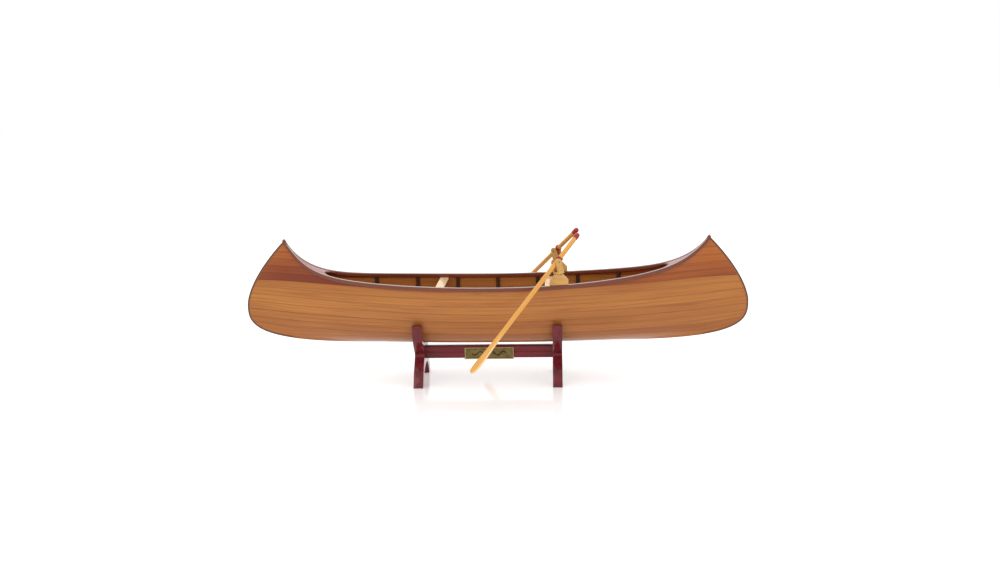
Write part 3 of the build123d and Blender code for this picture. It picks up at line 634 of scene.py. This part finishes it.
def gunwale(side):
    """Rounded rail swept along the sheer, its outside a fixed way beyond the planking.

    At each end it runs on beside the stem, so its inside swings out to the stem's face.
    """
    mid = np.linspace(-END_STATION, END_STATION, SQUARE_COUNT)
    t = np.linspace(0, 1, 40)[1:]
    high, low = (
        np.concatenate([-(END_STATION + t * (rail_tip(line, -1) - END_STATION))[::-1], mid,
                        END_STATION + t * (rail_tip(line, 1) - END_STATION)])
        for line in (sheer_line, rail_bottom))
    planking = half_breadth(high, sheer_line(high))
    tip = np.minimum(high.max() - high, high - high.min())
    beside = STEM_WIDTH / 2 * np.clip(2 - tip / STEM_DEPTH, 0, 1)
    outer = planking + RAIL_OUTBOARD
    inner = np.maximum.reduce([planking - RAIL_INBOARD, np.full_like(high, GLUE), beside])
    a, b = rounded_loop(outer - inner, np.full_like(high, RAIL_HEIGHT), RAIL_ROUND)
    lift = b / RAIL_HEIGHT + 0.5
    x = low[:, None] + lift * (high - low)[:, None]
    y = side * ((outer + inner)[:, None] / 2 + a)
    z = rail_bottom(x) + lift * RAIL_HEIGHT
    return np.stack([x, y, z], -1), high


for side_name, side in SIDES.items():
    rows, along = gunwale(side)
    node = f"{side_name}_gunwale"
    put(node + "_rail", [rows], "canoe", MAHOGANY, [node],
        swept_grain(rows, along, side * 0.3))


def deck(end):
    """Deck panel: across the boat between the rails, crowned, with an elliptical mouth."""
    probe = np.linspace(DECK_MOUTH + DECK_BOW, HALF_LENGTH - TIP_INSET, 800)
    inner = half_breadth(probe, sheer_line(end * probe)) - RAIL_INBOARD
    last = probe[np.argmax(inner < DECK_POINT)]
    u = np.linspace(-1, 1, 33)
    mouth = half_breadth(DECK_MOUTH, sheer_line(end * DECK_MOUTH)) - RAIL_INBOARD
    inside = np.clip(1 - (u * mouth / (mouth - DECK_HORN)) ** 2, 0, None)
    start = DECK_MOUTH + DECK_BOW * np.sqrt(inside)
    t = np.linspace(0, 1, 48)[:, None]
    x = start + t * (last - start)
    half = np.maximum(half_breadth(x, sheer_line(end * x)) - RAIL_INBOARD - GLUE, DECK_LEAST)
    top = sheer_line(end * x) - DECK_CROWN * u ** 2 - DECK_SUNK
    upper = np.stack([end * x, u * half, top], -1)
    lower = np.stack([end * x, u * half, sheer_line(end * x) - DECK_THICK], -1)
    return np.concatenate([upper, lower[:, ::-1]], 1)


for end_name, end in ENDS.items():
    rows = deck(end)
    node = f"{end_name}_deck"
    # The deck panel takes the mahogany with the painted sheen on its top.
    put(node + "_panel", [rows], "canoe", DECK_MAHOGANY_SHEEN, [node], [rows * MM])


def stem(end):
    """Band round the end of the hull: a rounded section carried down the stem's profile."""
    s = np.concatenate([[0.0], np.linspace(2, STEM_S[-1], 150)])
    x_out, z_out = stem_at(s)
    x_in, z_in = stem_at(s, STEM_DEPTH)
    step = np.array([x_out[0] - x_out[1], z_out[0] - z_out[1]])
    lift = HEAD_PROUD * step / np.linalg.norm(step)
    x_out, x_in = np.r_[x_out[0] + lift[0], x_out], np.r_[x_in[0] + lift[0], x_in]
    z_out, z_in = np.r_[z_out[0] + lift[1], z_out], np.r_[z_in[0] + lift[1], z_in]
    width, height = np.full_like(x_out, STEM_WIDTH), np.full_like(x_out, STEM_DEPTH)
    a, b = rounded_loop(width, height, STEM_ROUND)
    share = b / STEM_DEPTH + 0.5
    reach = max(abs(corner[0]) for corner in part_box("bow_stem")) / MM
    x = np.minimum(x_in[:, None] + share * (x_out - x_in)[:, None], reach)
    z = z_in[:, None] + share * (z_out - z_in)[:, None]
    return np.stack([end * x, a, z], -1), np.r_[0.0, s], (share > 0.5) * 1.0


for end_name, end in ENDS.items():
    rows, along, dark = stem(end)
    node = f"{end_name}_stem"
    put(node + "_band", [rows], "canoe", STEM_WOOD, [node],
        swept_grain(rows, along, end * 0.2), [dark])


def keel():
    """Keel between the lowest strips: a low rounded bar that follows the keel line.

    Beyond the last square stations it deepens and widens evenly to the section of the stems.
    """
    x = np.linspace(GLUE - KEEL_END, KEEL_END - GLUE, 161)
    heel = np.clip((np.abs(x) - END_STATION) / (KEEL_END - END_STATION), 0, 1)
    width = 2 * (STEM_HALF - GLUE) * (1 - heel) + STEM_WIDTH * heel
    height = PLANK * (1 - heel) + STEM_DEPTH * heel
    a, b = rounded_loop(width, height, RAIL_ROUND)
    z = keel_line(x)[:, None] + height[:, None] / 2 + b
    return np.stack([np.repeat(x[:, None], a.shape[1], 1), a, z], -1), x


rows, along = keel()
put("keel_bar", [rows], "canoe", STEM_WOOD, ["keel"], swept_grain(rows, along))


def rib(x, end):
    """Rib bent round the inside of the hull, from under one rail to under the other."""
    top = rail_bottom(x - end * RIB_WIDTH / 2) - GLUE
    z = keel_line(x) + (top - keel_line(x)) * (1 - np.linspace(0, 0.97, 60)) ** 3
    y = half_breadth(x + end * RIB_WIDTH / 2, z)
    normal = hull_normal(np.full_like(z, x), z)[:, 1:]
    normal /= np.linalg.norm(normal, axis=1, keepdims=True)
    path = np.stack([y, z], -1) - normal * (PLANK + RIB_GAP + RIB_THICK / 2)
    path = path[path[:, 0] > RIB_FOOT]
    across = np.concatenate([path, (path * [-1, 1])[::-1]])
    away = np.concatenate([normal[:len(path)], (normal[:len(path)] * [-1, 1])[::-1]])
    count = len(across)
    a, b = rounded_loop(np.full(count, RIB_WIDTH), np.full(count, RIB_THICK), RIB_ROUND)
    y = across[:, :1] + away[:, :1] * b
    z = across[:, 1:] + away[:, 1:] * b
    return np.stack([x + a, y, z], -1), arc_length(across[:, 0], across[:, 1])


for number in range(-RIBS_EACH_WAY, RIBS_EACH_WAY + 1):
    rows, along = rib(number * RIB_SPACING, 1 if number > 0 else -1)
    node = f"rib_{number + RIBS_EACH_WAY + 1}"
    put(node + "_bent", [rows], "canoe", RIB_WOOD, [node],
        swept_grain(rows, along, number * 0.11))

for node in ("front_thwart", "rowing_seat"):
    softened(node, "canoe", THWART_WOOD, 0.6)


# ================================================================ oars and locks
def lathe(centre, axis, side_way, places, radii):
    """Turned piece: circles of the given radii at places along the axis."""
    up_way = axis.cross(side_way)
    turn = np.linspace(0, 2 * np.pi, 40, endpoint=False)
    ring = np.cos(turn)[:, None] * np.array(side_way) + np.sin(turn)[:, None] * np.array(up_way)
    line = np.array(centre) + np.asarray(places)[:, None] * np.array(axis)
    return line[:, None] + np.asarray(radii)[:, None, None] * ring


def oar_rows(pivot, handle, pin):
    """Round shaft that flattens into a bevelled blade with a round tip.

    Each section runs from a circle to a flat panel with sloping rims as the blade share grows.
    """
    shoulder = BLADE_REACH - BLADE_LENGTH
    tip = BLADE_REACH - BLADE_SHOULDER * (1 - np.cos(np.linspace(0, np.pi / 2, 22)))[::-1]
    ramp = np.linspace(-(HANDLE_REACH - GRIP_LENGTH), shoulder, 60)
    blade = np.linspace(shoulder, BLADE_REACH - BLADE_SHOULDER, 50)[1:-1]
    out = np.concatenate([ramp, blade, tip])
    along = np.clip((out - shoulder) / (BLADE_LENGTH - BLADE_SHOULDER), 0, 1)
    swell = along * along * (3 - 2 * along)
    round_off = np.clip((out - (BLADE_REACH - BLADE_SHOULDER)) / BLADE_SHOULDER, 0, 1)
    cap = np.clip(1 - round_off ** TIP_BLUNT, 1e-5, 1) ** (1 / TIP_BLUNT)
    half = (SHAFT_RADIUS + (BLADE_HALF - SHAFT_RADIUS) * swell) * cap
    flat = np.clip(FLATTENING * swell, 0, 1)
    thick = (SHAFT_RADIUS + (BLADE_THICK - SHAFT_RADIUS) * flat) * cap ** 0.5
    turn = np.linspace(0, 2 * np.pi, 48, endpoint=False)
    circle_y, circle_z = np.cos(turn), np.sin(turn)
    rim = np.clip((1 - np.abs(circle_y)) / PANEL_RIM, 0, 1) * (1 - PANEL_DISH)
    rim = rim + PANEL_DISH * np.abs(circle_z)
    panel = np.sign(circle_z) * rim
    share = flat[:, None]
    y = half[:, None] * circle_y
    z = thick[:, None] * ((1 - share) * circle_z + share * panel)
    face = np.array(handle.cross(pin))
    rows = (np.array(pivot) - out[:, None, None] * np.array(handle)
            + y[..., None] * np.array(pin) + z[..., None] * face)
    light = share * np.clip((np.abs(circle_y) - RIM_START) / RIM_FADE, 0, 1)
    return rows, out, y, z, light


joints = {joint["name"]: joint for joint in frame["joints"]}
for side_name, side in SIDES.items():
    dip = joints[f"{side_name}_oar_dip"]
    pivot, pin = Vector(dip["pos_m"]) / MM, Vector(dip["axis"]).normalized()
    handle = Vector((cos(OAR_PITCH) * cos(OAR_YAW), -side * cos(OAR_PITCH) * sin(OAR_YAW),
                     sin(OAR_PITCH)))
    body, lock = f"{side_name}_oar_set", f"{side_name}_lock"
    rows, out, y, z, light = oar_rows(pivot, handle, pin)
    grain = np.stack([np.repeat(out[:, None], y.shape[1], 1), y, z + 40 * side], -1) * MM
    put(f"{side_name}_oar_shaped", [rows], body, OAR_WOOD, [f"{side_name}_oar"],
        [grain], [0.8 * light])
    swell = np.array([-0.9, -0.25, 0.0, 0.0, -0.25, -0.9])
    places = COLLAR_START + np.array([0.0, 0.25, 0.8, 2.0, 2.55, COLLAR_LENGTH])
    rows = lathe(pivot, handle, pin, places, COLLAR_RADIUS + swell)
    put(f"{side_name}_collar_turned", [rows], body, LACQUER, [f"{side_name}_oar_collar"],
        swept_grain(rows, places))
    places = HANDLE_REACH - GRIP_LENGTH + np.array([0.0, 0.3, 1.4, 1.8, 2.2, 5.0, 7.2, 8.1, 8.5])
    radii = GRIP_RADIUS + np.array([-0.4, -0.05, 0.0, -0.3, -0.05, 0.0, -0.15, -0.8, -2.0])
    rows = lathe(pivot, handle, pin, places, radii)
    put(f"{side_name}_grip_turned", [rows], body, LACQUER, [f"{side_name}_oar_grip"],
        swept_grain(rows, places))
    softened(f"{side_name}_oar_fork", lock, MAPLE, 0.35)
    softened(f"{side_name}_oar_pin", lock, STEEL, 0.25)
    softened(f"{side_name}_oarlock_block", "canoe", MAPLE, 0.45)


# ================================================================ stand
for end_name in ENDS:
    softened(f"{end_name}_cradle_frame", "stand", CHERRY, 0.8)


def stretcher():
    """Stretcher of two beads: each swells to the full thickness between the groove and its edge."""
    low, high = (np.array(corner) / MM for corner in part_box("stand_stretcher"))
    middle, reach = (low[2] + high[2]) / 2, (high[2] - low[2]) / 2
    share = np.linspace(-1, 1, 41)
    bead = 1 - np.abs(2 * np.abs(share) - 1) ** 3
    edge = EDGE_FALL * np.clip((np.abs(share) - BEAD_EDGE) / (1 - BEAD_EDGE), 0, None)
    front = low[1] + BEAD_SWELL * (1 - bead) + edge
    z = middle + reach * share
    y = np.concatenate([front, -front[::-1]])
    z = np.concatenate([z, z[::-1]])
    x = np.linspace(low[0], high[0], 12)
    shape = (len(x), len(y))
    return np.stack([np.repeat(x[:, None], len(y), 1), np.broadcast_to(y, shape),
                     np.broadcast_to(z, shape)], -1)


rows = stretcher()
put("stretcher_beaded", [rows], "stand", CHERRY_RAIL, ["stand_stretcher"], smooth=30)


def plate():
    """Name plate with a raised rim, a sunk border line and a sunk wave in place of lettering.

    The front is a height field over the plate: relief falls away at the border line and along
    a sine wave that fades out at its two ends, and the rim is chamfered.
    """
    low, high = (np.array(corner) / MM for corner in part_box("name_plate"))
    x = np.linspace(low[0], high[0], 301)
    z = np.linspace(low[2], high[2], 75)
    gx, gz = np.meshgrid(x, z, indexing="ij")
    inset = np.minimum.reduce([gx - low[0], high[0] - gx, gz - low[2], high[2] - gz])
    line = np.exp(-((inset - PLATE_RIM) / (0.5 * PLATE_LINE)) ** 2)
    from_middle = gx - (low[0] + high[0]) / 2
    turn = 2 * np.pi / WAVE_LENGTH
    wave = (low[2] + high[2]) / 2 + WAVE_HEIGHT * np.sin(from_middle * turn)
    slope = WAVE_HEIGHT * turn * np.cos(from_middle * turn)
    ends = np.clip((1.5 * WAVE_LENGTH - np.abs(from_middle)) / WAVE_FADE, 0, 1)
    curl = np.exp(-((gz - wave) / (WAVE_LINE * np.sqrt(1 + slope ** 2))) ** 2) * ends
    sunk = np.maximum(line, curl)
    chamfer = np.clip(PLATE_CHAMFER - inset, 0, None)
    front = np.stack([gx, low[1] + PLATE_RELIEF * sunk + chamfer, gz], -1)
    back = np.stack([gx, np.full_like(gx, high[1]), gz], -1)[:, [-1, 0]]
    loop = np.concatenate([front, back], 1)
    bright = np.exp(-((inset - PLATE_RIM / 2) / PLATE_LINE) ** 2)
    edge = np.concatenate([sunk - bright, np.zeros((len(x), 2))], 1)
    return loop, edge


rows, edge = plate()
put("name_plate_engraved", [rows], "stand", BRASS, ["name_plate"], edge=[edge])

for dowel_slot in nodes["stretcher_dowels"].material_slots:
    dowel_slot.material = MAPLE


# ================================================================ floor, light and camera
def studio():
    """White glossy floor under a white sky, with broad soft lights in front and above."""
    bpy.ops.mesh.primitive_plane_add(size=14)
    floor = bpy.context.object
    floor.name = "floor"
    paint = Paint("floor_white")
    paint.shade(Base_Color=(0.94, 0.94, 0.94, 1), Roughness=0.09)
    paint.shade(Emission_Color=(1, 1, 1, 1), Emission_Strength=0.22)
    floor.data.materials.append(paint.material)
    floor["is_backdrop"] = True
    world = bpy.data.worlds.new("sky")
    world.use_nodes = True
    world.node_tree.nodes["Background"].inputs["Color"].default_value = (1, 1, 1, 1)
    world.node_tree.nodes["Background"].inputs["Strength"].default_value = 1.0
    bpy.context.scene.world = world
    for name, place, size, power in (("key", (-1.1, -1.7, 1.6), 1.4, 9),
                                     ("fill", (1.4, -1.5, 1.1), 1.2, 3),
                                     ("top", (0.0, 0.2, 1.9), 1.8, 6)):
        light = bpy.data.lights.new(name, "AREA")
        light.size, light.energy = size, power
        lamp = bpy.data.objects.new(name, light)
        aim = Vector((0, 0, 0.1)) - Vector(place)
        lamp.matrix_world = (Matrix.Translation(place) @
                             aim.to_track_quat("-Z", "Y").to_matrix().to_4x4())
        bpy.context.scene.collection.objects.link(lamp)


def camera():
    """Camera 1.7 m in front, turned a little to the stern, looking down and slightly rolled."""
    turn, down, roll = radians(-2.10), radians(8.51), radians(-0.89)
    ahead = Vector((sin(turn) * cos(down), cos(turn) * cos(down), -sin(down)))
    right = Vector((cos(turn), -sin(turn), 0))
    up = right.cross(ahead)
    axes = (right * cos(roll) + up * sin(roll), up * cos(roll) - right * sin(roll), -ahead)
    lens = bpy.data.cameras.new("camera")
    lens.sensor_width, lens.lens = 36.0, 50.98
    eye = bpy.data.objects.new("camera", lens)
    eye.matrix_world = Matrix.Translation((0.067, -1.7, 0.375)) @ Matrix(axes).transposed().to_4x4()
    bpy.context.scene.collection.objects.link(eye)
    bpy.context.scene.camera = eye


studio()
camera()
bpy.context.scene.view_settings.view_transform = "Standard"

low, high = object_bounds()
